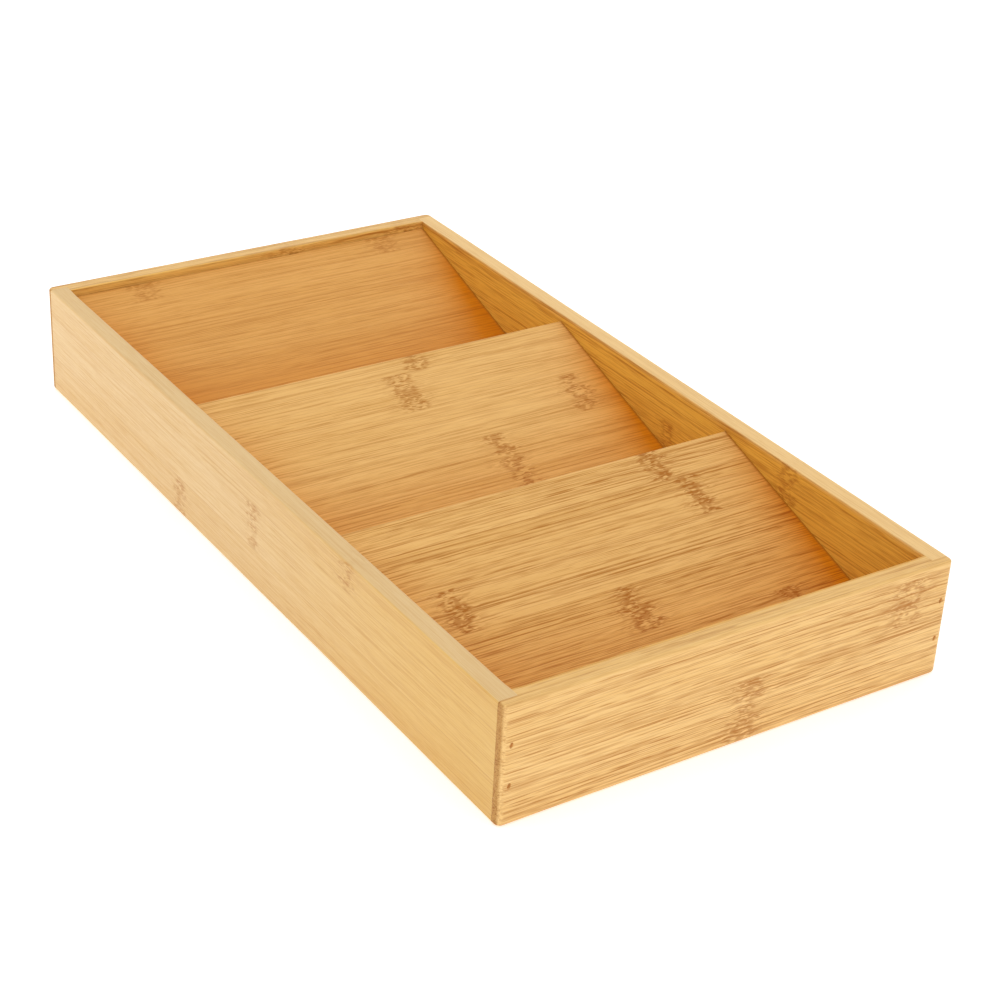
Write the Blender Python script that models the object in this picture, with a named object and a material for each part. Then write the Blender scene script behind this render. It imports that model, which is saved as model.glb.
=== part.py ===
"""Bamboo spice rack that lies in a kitchen drawer.

Four boards make a shallow open frame. The end boards are rebated, so that an outer lap
covers the ends of the side boards, and two brads hold each corner. Inside, three sloped
panels sit in stopped grooves in the side boards, and each carries a row of lying jars.

Lengths are in metres. +X runs across the front, +Y to the back and +Z up. The origin is
at the middle of the footprint, on the drawer's floor.
"""
import math

import bmesh
import bpy
from mathutils import Matrix

# Outside of the frame
RACK_WIDTH = 0.2286
RACK_LENGTH = 0.4318
RACK_HEIGHT = 0.05715

# Boards
SIDE_THICKNESS = 0.009
END_THICKNESS = 0.009
LAP_THICKNESS = 0.004
GLUE_GAP = 0.0003

# Eased edges of the frame
CORNER_RADIUS = 0.002
RIM_RADIUS = 0.0015
FOOT_RADIUS = 0.0012
INNER_EASE = 0.0006
ROUND_SEGMENTS = 6

# Sloped tiers
TIER_COUNT = 3
PANEL_THICKNESS = 0.006
TOE_LIFT = 0.0032
RIDGE_DROP = 0.0035
GROOVE_DEPTH = 0.003
PANEL_EASE = 0.0006
EASE_SEGMENTS = 3

# Brads through the laps
BRADS_PER_CORNER = 2
BRAD_LENGTH = 0.025
BRAD_THICKNESS = 0.0012
BRAD_WIDTH = 0.001
BRAD_POINT_LENGTH = 0.002
BRAD_HEAD_LEDGE = 0.0005
BRAD_HEAD_THICKNESS = 0.0009
BRAD_SET_DEPTH = 0.0008
BRAD_CLEARANCE = 0.0002

# How far a cutter runs past the surface that it cuts
OVERCUT = 0.001

# Worked out from the sizes above
INNER_WIDTH = RACK_WIDTH - 2 * SIDE_THICKNESS
INNER_LENGTH = RACK_LENGTH - 2 * END_THICKNESS
TIER_PITCH = INNER_LENGTH / TIER_COUNT
RIDGE_HEIGHT = RACK_HEIGHT - RIDGE_DROP
RIDGE_TO_LIFT = RIDGE_HEIGHT - TOE_LIFT

# A panel's top climbs from its own plumb thickness above the lift to the ridge:
# RIDGE_TO_LIFT * cos(slope) - TIER_PITCH * sin(slope) = PANEL_THICKNESS
TIER_SLOPE = (
    math.acos(PANEL_THICKNESS / math.hypot(RIDGE_TO_LIFT, TIER_PITCH))
    - math.atan2(TIER_PITCH, RIDGE_TO_LIFT)
)
PLUMB_THICKNESS = PANEL_THICKNESS / math.cos(TIER_SLOPE)
TIER_RISE = TIER_PITCH * math.tan(TIER_SLOPE)

# Base colours, linear
BOARD_COLOUR = (0.72, 0.46, 0.21, 1.0)
PANEL_COLOUR = (0.66, 0.38, 0.15, 1.0)
BRAD_COLOUR = (0.30, 0.22, 0.15, 1.0)

ENDS = (("front", -1), ("back", 1))
SIDES = (("left", -1), ("right", 1))


def clear_scene():
    for obj in list(bpy.data.objects):
        bpy.data.objects.remove(obj, do_unlink=True)


def new_collection(name):
    collection = bpy.data.collections.new(name)
    bpy.context.scene.collection.children.link(collection)
    return collection


def new_material(name, colour, roughness, metallic=0.0):
    material = bpy.data.materials.new(name)
    material.use_nodes = True
    shader = material.node_tree.nodes["Principled BSDF"]
    shader.inputs["Base Color"].default_value = colour
    shader.inputs["Roughness"].default_value = roughness
    shader.inputs["Metallic"].default_value = metallic
    return material


def add_mesh(name, bm, collection):
    """Put a finished bmesh into a new object of the collection."""
    mesh = bpy.data.meshes.new(name)
    bm.to_mesh(mesh)
    bm.free()
    obj = bpy.data.objects.new(name, mesh)
    collection.objects.link(obj)
    return obj


def sized_cube(size_x, size_y, size_z):
    """A bmesh box of the given size, centred on its own origin."""
    bm = bmesh.new()
    bmesh.ops.create_cube(bm, size=1.0, matrix=Matrix.Diagonal((size_x, size_y, size_z, 1.0)))
    return bm


def block(name, low, high, collection):
    """A box between two opposite corners, with its origin at its middle."""
    size = [abs(b - a) for a, b in zip(low, high)]
    obj = add_mesh(name, sized_cube(*size), collection)
    obj.location = [(a + b) / 2 for a, b in zip(low, high)]
    return obj


def edges_along(bm, axis):
    """The edges of a box that run along one axis."""
    across = [i for i in range(3) if i != axis]
    found = []
    for edge in bm.edges:
        step = edge.verts[1].co - edge.verts[0].co
        if abs(step[axis]) > max(abs(step[i]) for i in across):
            found.append(edge)
    return found


def edges_at_height(bm, height):
    """The edges whose two ends lie at the given height."""
    near = 1e-6
    return [e for e in bm.edges if all(abs(v.co.z - height) < near for v in e.verts)]


def round_edges(bm, edges, radius, segments):
    bmesh.ops.bevel(
        bm, geom=edges, offset=radius, segments=segments, profile=0.5,
        affect="EDGES", clamp_overlap=True,
    )


def as_cutter(obj):
    obj.display_type = "WIRE"
    obj.hide_render = True
    return obj


def boolean(obj, cutter, operation):
    modifier = obj.modifiers.new(f"{operation.lower()} {cutter.name}", "BOOLEAN")
    modifier.operation = operation
    modifier.solver = "EXACT"
    modifier.object = cutter


def frame_outline(cutters):
    """The whole frame's outer shape: a block with rounded corners, rim and foot."""
    bm = sized_cube(RACK_WIDTH, RACK_LENGTH, RACK_HEIGHT)
    round_edges(bm, edges_along(bm, 2), CORNER_RADIUS, ROUND_SEGMENTS)
    round_edges(bm, edges_at_height(bm, RACK_HEIGHT / 2), RIM_RADIUS, ROUND_SEGMENTS)
    round_edges(bm, edges_at_height(bm, -RACK_HEIGHT / 2), FOOT_RADIUS, ROUND_SEGMENTS)
    obj = add_mesh("frame_outline", bm, cutters)
    obj.location.z = RACK_HEIGHT / 2
    return as_cutter(obj)


def rim_ease(cutters):
    """The cutter that eases the rim's inner edge: a block whose sides lean out at 45 degrees."""
    height = INNER_EASE + 2 * OVERCUT
    low_width = INNER_WIDTH - 2 * OVERCUT
    low_length = INNER_LENGTH - 2 * OVERCUT
    bm = sized_cube(low_width, low_length, height)
    for vert in bm.verts:
        if vert.co.z > 0:
            vert.co.x *= (low_width + 2 * height) / low_width
            vert.co.y *= (low_length + 2 * height) / low_length
    obj = add_mesh("rim_ease", bm, cutters)
    obj.location.z = RACK_HEIGHT - INNER_EASE - OVERCUT + height / 2
    return as_cutter(obj)


def rebate(end_name, end, side_name, side, cutters):
    """The space at one end of an end board that the side board fills."""
    lap_face = end * (RACK_LENGTH / 2 - LAP_THICKNESS)
    past_inner_face = end * (INNER_LENGTH / 2 - OVERCUT)
    low = (side * (INNER_WIDTH / 2 - GLUE_GAP), lap_face, -OVERCUT)
    high = (side * (RACK_WIDTH / 2 + OVERCUT), past_inner_face, RACK_HEIGHT + OVERCUT)
    return as_cutter(block(f"{end_name}_{side_name}_rebate", low, high, cutters))


def end_board(end_name, end, outline, ease, pockets, parts, cutters):
    """Board across one end, rebated at both of its own ends."""
    low = (-RACK_WIDTH / 2 - OVERCUT, end * INNER_LENGTH / 2, -OVERCUT)
    high = (RACK_WIDTH / 2 + OVERCUT, end * (RACK_LENGTH / 2 + OVERCUT), RACK_HEIGHT + OVERCUT)
    board = block(f"{end_name}_board", low, high, parts)
    boolean(board, outline, "INTERSECT")
    boolean(board, ease, "DIFFERENCE")
    for side_name, side in SIDES:
        boolean(board, rebate(end_name, end, side_name, side, cutters), "DIFFERENCE")
    for pocket in pockets:
        boolean(board, pocket, "DIFFERENCE")
    return board


def side_board(side_name, side, outline, ease, pockets, parts, cutters):
    """Long board between the laps, with a stopped groove for each tier panel."""
    half_length = RACK_LENGTH / 2 - LAP_THICKNESS - GLUE_GAP
    low = (side * INNER_WIDTH / 2, -half_length, -OVERCUT)
    high = (side * (RACK_WIDTH / 2 + OVERCUT), half_length, RACK_HEIGHT + OVERCUT)
    board = block(f"{side_name}_side_board", low, high, parts)
    boolean(board, outline, "INTERSECT")
    boolean(board, ease, "DIFFERENCE")
    for tier in range(TIER_COUNT):
        boolean(board, groove(side_name, side, tier, cutters), "DIFFERENCE")
    for pocket in pockets:
        boolean(board, pocket, "DIFFERENCE")
    return board


def sloped_block(size_x, run, thickness):
    """A board that rises towards +Y and whose two ends are cut plumb.

    It is a box whose points are lifted in proportion to y. The thickness is measured
    square to the slope, and the origin is at the middle of the board.
    """
    bm = sized_cube(size_x, run, thickness / math.cos(TIER_SLOPE))
    for vert in bm.verts:
        vert.co.z += vert.co.y * math.tan(TIER_SLOPE)
    return bm


def tier_middle(tier):
    """The middle of a tier's panel: y and z."""
    y = -INNER_LENGTH / 2 + (tier + 0.5) * TIER_PITCH
    return y, TOE_LIFT + (PLUMB_THICKNESS + TIER_RISE) / 2


def groove(side_name, side, tier, cutters):
    """Stopped groove in a side board, a glue gap wider than the panel all round."""
    bm = sloped_block(GROOVE_DEPTH + OVERCUT, TIER_PITCH, PANEL_THICKNESS + 2 * GLUE_GAP)
    obj = add_mesh(f"{side_name}_groove_{tier + 1}", bm, cutters)
    y, z = tier_middle(tier)
    obj.location = (side * (INNER_WIDTH + GROOVE_DEPTH - OVERCUT) / 2, y, z)
    return as_cutter(obj)


def tier_panel(tier, parts):
    """Sloped panel of one tier, with its side edges in the grooves."""
    width = INNER_WIDTH + 2 * (GROOVE_DEPTH - GLUE_GAP)
    bm = sloped_block(width, TIER_PITCH - 2 * GLUE_GAP, PANEL_THICKNESS)
    round_edges(bm, edges_along(bm, 0), PANEL_EASE, EASE_SEGMENTS)
    panel = add_mesh(f"tier_panel_{tier + 1}", bm, parts)
    y, z = tier_middle(tier)
    panel.location = (0.0, y, z)
    return panel


def brad_outline():
    """Side view of a brad: x runs from the head's top to the point, y across the shank."""
    shank = BRAD_WIDTH / 2
    head = shank + BRAD_HEAD_LEDGE
    half = [
        (0.0, head),
        (BRAD_HEAD_THICKNESS, head),
        (BRAD_HEAD_THICKNESS, shank),
        (BRAD_LENGTH - BRAD_POINT_LENGTH, shank),
    ]
    return half + [(BRAD_LENGTH, 0.0)] + [(x, -y) for x, y in reversed(half)]


def pocket_outline():
    """The brad's side view with its clearance, open from the board's face inwards."""
    shank = BRAD_WIDTH / 2 + BRAD_CLEARANCE
    head = shank + BRAD_HEAD_LEDGE
    shoulder = BRAD_HEAD_THICKNESS + BRAD_CLEARANCE
    half = [
        (-BRAD_SET_DEPTH - OVERCUT, head),
        (shoulder, head),
        (shoulder, shank),
        (BRAD_LENGTH + BRAD_CLEARANCE, shank),
    ]
    return half + [(x, -y) for x, y in reversed(half)]


def flat_shape(name, outline, thickness, collection):
    """A flat outline given a thickness, turned from a filled 2D curve into a closed mesh."""
    curve = bpy.data.curves.new(name, "CURVE")
    curve.dimensions = "2D"
    curve.fill_mode = "BOTH"
    curve.extrude = thickness / 2
    spline = curve.splines.new("POLY")
    spline.points.add(len(outline) - 1)
    for point, (x, y) in zip(spline.points, outline):
        point.co = (x, y, 0.0, 1.0)
    spline.use_cyclic_u = True
    drawn = bpy.data.objects.new(f"{name}_curve", curve)
    collection.objects.link(drawn)
    graph = bpy.context.evaluated_depsgraph_get()
    mesh = bpy.data.meshes.new_from_object(drawn.evaluated_get(graph))
    bpy.data.objects.remove(drawn, do_unlink=True)
    bm = bmesh.new()
    bm.from_mesh(mesh)
    bpy.data.meshes.remove(mesh)
    bmesh.ops.remove_doubles(bm, verts=bm.verts, dist=1e-6)
    bmesh.ops.recalc_face_normals(bm, faces=bm.faces)
    return add_mesh(name, bm, collection)


def place_brad(obj, end, side, row):
    """Stand a brad or its pocket in the end face of a side board, head outwards."""
    x = side * (RACK_WIDTH - SIDE_THICKNESS) / 2
    y = end * (RACK_LENGTH / 2 - BRAD_SET_DEPTH)
    z = RACK_HEIGHT * (row + 1) / (BRADS_PER_CORNER + 1)
    obj.location = (x, y, z)
    obj.rotation_euler = (math.radians(90), 0.0, math.radians(-90 * end))


def corner_brads(end_name, end, side_name, side, parts, cutters):
    """The brads of one corner, from the bottom up, and the pockets that they sit in."""
    brads = []
    pockets = []
    for row in range(BRADS_PER_CORNER):
        name = f"{end_name}_{side_name}_brad_{row + 1}"
        brad = flat_shape(name, brad_outline(), BRAD_THICKNESS, parts)
        place_brad(brad, end, side, row)
        brads.append(brad)
        width = BRAD_THICKNESS + 2 * BRAD_CLEARANCE
        pocket = flat_shape(f"{name}_pocket", pocket_outline(), width, cutters)
        place_brad(pocket, end, side, row)
        pockets.append(as_cutter(pocket))
    return brads, pockets


def finish(obj, colour, roughness, root, metallic=0.0):
    """Give a part its own material and hang it on the rack's root."""
    obj.data.materials.append(new_material(f"{obj.name}_finish", colour, roughness, metallic))
    obj.parent = root


def build_rack():
    parts = new_collection("drawer_spice_rack")
    cutters = new_collection("cutters")
    root = bpy.data.objects.new("drawer_spice_rack_root", None)
    parts.objects.link(root)

    outline = frame_outline(cutters)
    ease = rim_ease(cutters)
    pockets = {}
    for end_name, end in ENDS:
        for side_name, side in SIDES:
            brads, cut = corner_brads(end_name, end, side_name, side, parts, cutters)
            pockets[end_name, side_name] = cut
            for brad in brads:
                finish(brad, BRAD_COLOUR, 0.45, root, metallic=1.0)

    for end_name, end in ENDS:
        own = [p for side_name, _ in SIDES for p in pockets[end_name, side_name]]
        board = end_board(end_name, end, outline, ease, own, parts, cutters)
        finish(board, BOARD_COLOUR, 0.5, root)
    for side_name, side in SIDES:
        own = [p for end_name, _ in ENDS for p in pockets[end_name, side_name]]
        board = side_board(side_name, side, outline, ease, own, parts, cutters)
        finish(board, BOARD_COLOUR, 0.5, root)
    for tier in range(TIER_COUNT):
        finish(tier_panel(tier, parts), PANEL_COLOUR, 0.5, root)


clear_scene()
build_rack()
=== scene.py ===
"""Looks of a bamboo spice rack that lies in a kitchen drawer.

The file is laid out as an add-on and run as a script. The Spice Rack panel in the 3D view's
sidebar has one operator for each kind of piece, and one for the studio round them. Each board
is glued up from flat strips of bamboo, and its material is solid: the fibres run through the
whole board, so a face, an edge and a sawn end all show the same strips.

Lengths are in metres and colours are linear. +X runs across the front, +Y to the back, +Z up.
"""
import math

import bmesh
import bpy
import numpy as np
from bpy.props import FloatProperty, FloatVectorProperty, PointerProperty
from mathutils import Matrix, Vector


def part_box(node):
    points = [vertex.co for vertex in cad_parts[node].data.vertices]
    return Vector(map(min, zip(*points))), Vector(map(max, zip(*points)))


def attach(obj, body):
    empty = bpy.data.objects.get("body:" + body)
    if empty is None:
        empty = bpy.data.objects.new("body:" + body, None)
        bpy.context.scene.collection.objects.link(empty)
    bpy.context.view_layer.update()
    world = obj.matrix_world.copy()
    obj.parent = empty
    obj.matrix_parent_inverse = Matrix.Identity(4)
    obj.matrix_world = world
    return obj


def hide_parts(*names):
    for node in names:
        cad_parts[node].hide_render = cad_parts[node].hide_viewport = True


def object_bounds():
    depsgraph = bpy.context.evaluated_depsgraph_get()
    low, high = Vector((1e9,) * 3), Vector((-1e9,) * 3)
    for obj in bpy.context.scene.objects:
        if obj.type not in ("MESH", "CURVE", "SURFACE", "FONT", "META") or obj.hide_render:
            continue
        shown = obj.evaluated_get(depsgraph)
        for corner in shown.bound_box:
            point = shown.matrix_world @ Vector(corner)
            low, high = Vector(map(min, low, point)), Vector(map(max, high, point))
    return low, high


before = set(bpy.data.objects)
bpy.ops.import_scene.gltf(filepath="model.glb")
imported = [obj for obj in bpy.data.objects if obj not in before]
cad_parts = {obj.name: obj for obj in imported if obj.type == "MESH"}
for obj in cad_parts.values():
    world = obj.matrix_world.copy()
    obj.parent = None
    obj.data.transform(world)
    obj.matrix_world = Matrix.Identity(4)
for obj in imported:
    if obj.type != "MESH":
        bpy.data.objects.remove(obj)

bl_info = {
    "name": "Drawer Spice Rack",
    "version": (1, 0, 0),
    "blender": (4, 5, 0),
    "location": "View3D > Sidebar > Spice Rack",
    "description": "Laminated bamboo boards, sloped tiers and brads of a drawer spice rack",
    "category": "Object",
}

# The frame's box: the origin is at the middle of its foot
BOX_LOW, BOX_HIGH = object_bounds()
HALF_WIDTH = BOX_HIGH.x
HALF_LENGTH = BOX_HIGH.y
HEIGHT = BOX_HIGH.z

ENDS = (("front", -1), ("back", 1))
SIDES = (("left", -1), ("right", 1))
MILLIMETRES = 1000.0
WHITE = (1.0, 1.0, 1.0, 1.0)

# The strips that each board is glued up from, in millimetres: where a strip starts across
# the board, how pale (+1) or dark (-1) it is, and where its growth nodes cross it, measured
# along the board from the middle. A board's strips run up from its foot, and a tier panel's
# run up its slope to the ridge, at 0.
STRIPS = {
    "front_board": [(-9, 0.1, 5), (12, 0.2, 7), (31, -0.1, 91), (53.5, -0.3)],
    "back_board": [(-5, 0.0, -40), (17, 0.1), (40, 0.3, 92, 20)],
    "left_side_board": [(-3, -0.1, 63), (20, 0.3, -12), (43, 0.1, -96)],
    "right_side_board": [(-3, 0.0, -150), (15, 0.1, -26), (38, 0.0, -116)],
    "tier_panel_1": [
        (-146, 0.0), (-118, -0.3, 73), (-94, -0.35, 0), (-68, 0.2, -76), (-44, -0.25, 67),
        (-19, 0.25, 58),
    ],
    "tier_panel_2": [
        (-146, 0.0), (-113, -0.3, 27), (-88, 0.1, 26), (-63, 0.15, 85), (-37, 0.2, 0),
        (-11, 0.1, 15),
    ],
    "tier_panel_3": [
        (-146, -0.7), (-118, -0.7), (-92, -1.0), (-66, -0.7), (-40, -0.5), (-14, -0.5, 76, -67),
    ],
}
# Where the last strip ends, just past the rim or the ridge, where a strip without a node has
# it, far off the board, and how far apart in the bamboo the patterns of neighbouring strips
# lie, all in millimetres
STRIPS_END = {"board": 60.0, "tier": 2.0}
NO_NODE = -500.0
STRIP_APART = 100.0

# How strong each tier's streaks and growth nodes are, and how much painted shade lies all over it
TIER_LOOKS = {1: (1.0, 1.15, 0.13), 2: (0.65, 0.85, 0.12), 3: (0.55, 0.5, 0.38)}

# The streaks of fibre: how long one lasts along the grain and how far apart they lie across
# it, in millimetres, and the levels of noise between which one sets in
STREAKS = {
    "coarse": (20.0, 0.78, 0.525, 0.59),
    "medium": (10.0, 0.46, 0.49, 0.59),
    "fine": (5.0, 0.26, 0.40, 0.60),
    "broad": (40.0, 2.4, 0.36, 0.64),
    "wide": (60.0, 12.0, 0.36, 0.64),
}

# Where each softbox hangs, what it points at and how large it is
SOFTBOXES = {
    "overhead": ((0.0, 0.1, 1.2), (0.0, 0.0, 0.0), (1.0, 1.0)),
    "back_left": ((-0.38, 0.42, 0.08), (-0.11, 0.2, 0.03), (0.3, 0.14)),
}

# How far apart the two stations of a step in a board lie
SLIVER = 0.00002
# The spacing of the points in an end board's lap, on a tier panel beside a side board, and
# round the middle of a brad's dimple, and how far these last reach across and up
LAP_GRID = 0.0005
BESIDE_GRID = 0.0003
DIMPLE_GRID = 0.00014
DIMPLE_ACROSS = 0.0014
DIMPLE_UP = 0.0016
# Over what length the easing of an inner edge dies out before a corner
EASE_RUN_OUT = 0.006
# A distance to the nearest corner that no rounding reaches
FAR = 1.0
# What lies less far in than this counts as the outer face
OUTER_FACE = 0.0005


# ---------------------------------------------------------------- sizes and colours


def number_field(name, description, default, unit="NONE"):
    return FloatProperty(name=name, description=description, default=default, unit=unit, min=0.0)


def length_field(name, description, default):
    return number_field(name, description, default, "LENGTH")


def share_field(name, description, default):
    return FloatProperty(
        name=name, description=description, default=default, subtype="FACTOR", min=0.0, max=1.0,
    )


def colour_field(name, description, default):
    return FloatVectorProperty(
        name=name, description=description, default=default, subtype="COLOR", size=3,
        min=0.0, max=1.0,
    )


class RackShape(bpy.types.PropertyGroup):
    """How the rack's edges are eased and its joints fitted."""

    corner_radius: length_field("Corner Radius", "Rounding of the frame's four upright corners", 0.0030)
    rim_radius: length_field("Rim Radius", "Rounding of the rim's outer edge", 0.0012)
    foot_radius: length_field("Foot Radius", "Rounding of the foot's outer edge", 0.0018)
    inner_ease: length_field("Inner Ease", "Rounding of the rim's and the foot's inner edges", 0.0006)
    joint_gap: length_field("Joint Gap", "What a glued joint leaves open", 0.00001)
    groove_depth: length_field(
        "Groove Depth", "How deep the tiers' grooves run into the side boards", 0.003,
    )
    panel_thickness: length_field(
        "Panel Thickness", "Thickness of a tier panel, square to its slope", 0.006,
    )
    panel_ease: length_field("Panel Ease", "Rounding of a tier panel's long edges", 0.0006)
    grid: length_field("Grid", "Spacing of the points along a board", 0.002)
    hand: share_field("Hand Sanding", "How much an eased edge's radius wanders along it", 0.16)
    dimple_height: length_field(
        "Dimple Height", "Long axis of the oval dimple over a brad's head", 0.0025,
    )
    dimple_width: length_field(
        "Dimple Width", "Short axis of the oval dimple over a brad's head", 0.0015,
    )
    dimple_depth: length_field("Dimple Depth", "How deep a brad's head is set", 0.00085)


class BambooFinish(bpy.types.PropertyGroup):
    """Colours of the bamboo, of the lacquer over it, and of the painted light and shade on it."""

    pale: colour_field(
        "Pale Fibre", "Colour of the palest bamboo between its streaks", (0.91, 0.605, 0.245),
    )
    deep: colour_field(
        "Deep Fibre", "Colour of the deepest bamboo between its streaks", (0.79, 0.47, 0.145),
    )
    # Painted light: a paler, less saturated copy of the bamboo for the left side board, which the light
    # from the left washes out
    left_lit_pale: colour_field(
        "Lit Fibre", "The pale colour of the left side board, a brighter_lit piece", (0.76, 0.545, 0.275),
    )
    left_lit_deep: colour_field(
        "Lit Deep Fibre", "The deep colour of the left side board", (0.68, 0.435, 0.165),
    )
    tier_pale: colour_field(
        "Tier Pale Fibre", "The pale colour of the tier panels", (0.93, 0.595, 0.225),
    )
    tier_deep: colour_field(
        "Tier Deep Fibre", "The deep colour of the tier panels", (0.78, 0.455, 0.135),
    )
    streak: colour_field("Streak", "Colour of the dense bundles of fibre", (0.50, 0.215, 0.035))
    node_brown: colour_field(
        "Node Brown", "Colour of the ticks and spots in a growth node", (0.44, 0.16, 0.012),
    )
    # The tints of the painted shade: on the tiers, and fainter on the frame's boards
    pooled: colour_field(
        "Pooled Lacquer", "What deep lacquer does to the colour of a tier", (0.88, 0.49, 0.03),
    )
    painted_shade_wall: colour_field(
        "Pooled on Boards", "The same on the frame's boards, where it is thinner", (0.98, 0.80, 0.12),
    )
    end_grain: colour_field(
        "End Grain", "What lacquer that soaks into a sawn end does to the colour", (0.57, 0.44, 0.25),
    )
    sheen: share_field("Lacquer Roughness", "Roughness of the satin lacquer", 0.42)
    board_mirror: share_field(
        "Board Mirror", "How much the lacquer on the boards mirrors the room", 0.5,
    )
    tier_mirror: share_field("Tier Mirror", "The same for the thinner lacquer on the tiers", 0.2)
    relief: length_field("Relief", "Depth of the grain's relief in the lacquer", 0.0002)
    brad: colour_field("Brad", "Colour of a brad's head, browned by glue and dust", (0.66, 0.31, 0.08))
    brad_dust: colour_field("Brad Dust", "Colour of the darker patches on it", (0.50, 0.24, 0.07))


class Studio(bpy.types.PropertyGroup):
    """Floor, lights and camera."""

    floor_colour: colour_field("Floor", "Colour of the floor", (0.95, 0.95, 0.95))
    floor_glow: number_field("Floor Glow", "Strength of the light that comes up through it", 0.38)
    sky: number_field("Sky", "Strength of the even white light from all round", 0.96)
    overhead: number_field("Overhead Softbox", "Power of the softbox above the rack", 0.4, "POWER")
    back_left: number_field(
        "Back Left Softbox", "Power of the low softbox to the back left", 0.14, "POWER",
    )
    eye: FloatVectorProperty(
        name="Eye", description="Where the camera stands", subtype="XYZ", size=3,
        default=(-0.5142972, -0.7892028, 0.5360455), unit="LENGTH",
    )
    turn: FloatVectorProperty(
        name="Turn", description="How the camera is turned", subtype="EULER", size=3,
        default=(1.0611381, -0.0491299, -0.5732860),
    )
    lens: number_field("Lens", "Focal length, in millimetres, on a 36 mm sensor", 81.004)


# ---------------------------------------------------------------- surfaces


def rounding(depth, radius):
    """How far a rounded edge falls away at a distance in from its face.

    A quarter circle: r - sqrt(r^2 - (r - depth)^2), and nothing past the radius.
    """
    short = np.clip(radius - depth, 0.0, radius)
    return radius - np.sqrt(radius**2 - short**2)


def wandering(along, seed):
    """A slow wander between about -1 and 1: four sines, each shorter and smaller than the last.

    It dies out over 30 mm and is nil in the last 4 mm of a board, so that neighbours meet
    flush at a corner.
    """
    lengths = np.array([0.31, 0.17, 0.083, 0.041])
    sizes = np.array([0.40, 0.30, 0.20, 0.10])
    phases = seed * np.array([1.7, 2.9, 4.3, 5.1])
    wander = (sizes * np.sin(2 * math.pi * along[..., None] / lengths + phases)).sum(-1)
    return wander * smooth_step((np.abs(along).max() - 0.004 - np.abs(along)) / 0.03)


def crowded(count):
    """Fractions from 0 to 1 that crowd towards both ends: (1 - cos) / 2."""
    return (1 - np.cos(np.linspace(0, math.pi, count + 1))) / 2


def evenly(low, high, pitch):
    return np.linspace(low, high, max(2, round((high - low) / pitch) + 1))


def outer_levels(count):
    """Heights up an outer face that crowd towards the foot and the rim."""
    return 0.001 + (HEIGHT - 0.002) * crowded(count)


def smooth_step(value):
    value = np.clip(value, 0.0, 1.0)
    return value * value * (3 - 2 * value)


class Section:
    """Collects the runs of points of a board's cross-sections, one row for each station.

    A run is given by how far its points lie in from the outer face, how high they are, how
    rounded the edge is there and how far the surface faces up or down, each a number or an
    array of stations by points.
    """

    def __init__(self, stations):
        self.stations = stations
        self.runs = []

    def run(self, inward, up, arris=0.0, facing=0.0):
        values = np.broadcast_arrays(inward, up, arris, facing)
        shape = (self.stations, values[0].shape[-1])
        self.runs.append([np.broadcast_to(value, shape) for value in values])

    def joined(self):
        """The four arrays of the whole loop."""
        return [np.concatenate(part, axis=1) for part in zip(*self.runs)]


def board_section(shape, wander, to_corner, thickness, ease, levels, groove=None):
    """The cross-sections of one of the frame's boards, from the outer foot up and round.

    wander, to_corner, thickness and ease are columns, one row for each station. to_corner is
    how far the station lies from the end of the board, where the frame's upright corner, of
    radius R, rounds it. The rim and the foot follow offset curves of the frame's outline,
    which are circles about the same centre: a point at depth D inside the outline lies
    inward by R - sqrt((R - D)^2 - (R - to_corner)^2).
    """
    corner = shape.corner_radius
    rim = shape.rim_radius * (1 + shape.hand * wander)
    foot = shape.foot_radius * (1 + shape.hand * wander)
    past = np.clip(corner - to_corner, 0.0, corner)
    turn = quarter_turn(8)

    def inward_at(depth):
        return corner - np.sqrt(np.clip((corner - depth) ** 2 - past**2, 0.0, None))

    section = Section(len(to_corner))
    turned = np.sin(2 * np.arcsin(past / corner))
    section.run(inward_at(0 * past), np.clip(levels[None], foot, HEIGHT - rim), turned)

    depth = np.minimum(rim * (1 - np.cos(turn)), to_corner)
    section.run(inward_at(depth), HEIGHT - rounding(depth, rim), np.sin(2 * turn), np.sin(turn))

    top = HEIGHT - rounding(to_corner, rim)
    start = inward_at(np.minimum(rim, to_corner))
    section.run(start + (thickness - ease - start) * crowded(8)[None], top, 0.0, 1.0)

    turn = quarter_turn(4)
    section.run(
        thickness - ease * (1 - np.sin(turn)), top - ease * (1 - np.cos(turn)),
        np.sin(2 * turn), np.cos(turn),
    )
    wall_top = top - ease
    bottom = rounding(to_corner, foot)
    wall_foot = bottom + ease
    if groove is None:
        section.run(thickness, wall_top + (wall_foot - wall_top) * crowded(24)[None])
    else:
        low, high, deep = groove
        section.run(thickness, wall_top + (high - wall_top) * crowded(12)[None])
        section.run(thickness - deep, high + (low - high) * np.linspace(0, 1, 4)[None])
        section.run(thickness, low + (wall_foot - low) * crowded(12)[None])
    section.run(
        thickness - ease * (1 - np.cos(turn)), bottom + ease * (1 - np.sin(turn)),
        np.sin(2 * turn), np.sin(turn),
    )

    start = inward_at(np.minimum(foot, to_corner))
    section.run(thickness - ease + (start - thickness + ease) * crowded(6)[None], bottom, 0.0, 1.0)
    turn = quarter_turn(8)[:, ::-1]
    depth = np.minimum(foot * (1 - np.cos(turn)), to_corner)
    section.run(inward_at(depth), rounding(depth, foot), np.sin(2 * turn), np.sin(turn))
    return section.joined()


def quarter_turn(count):
    """A row of angles between 0 and a quarter turn, without those two."""
    return np.linspace(0, math.pi / 2, count + 1)[None, 1:-1]


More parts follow.
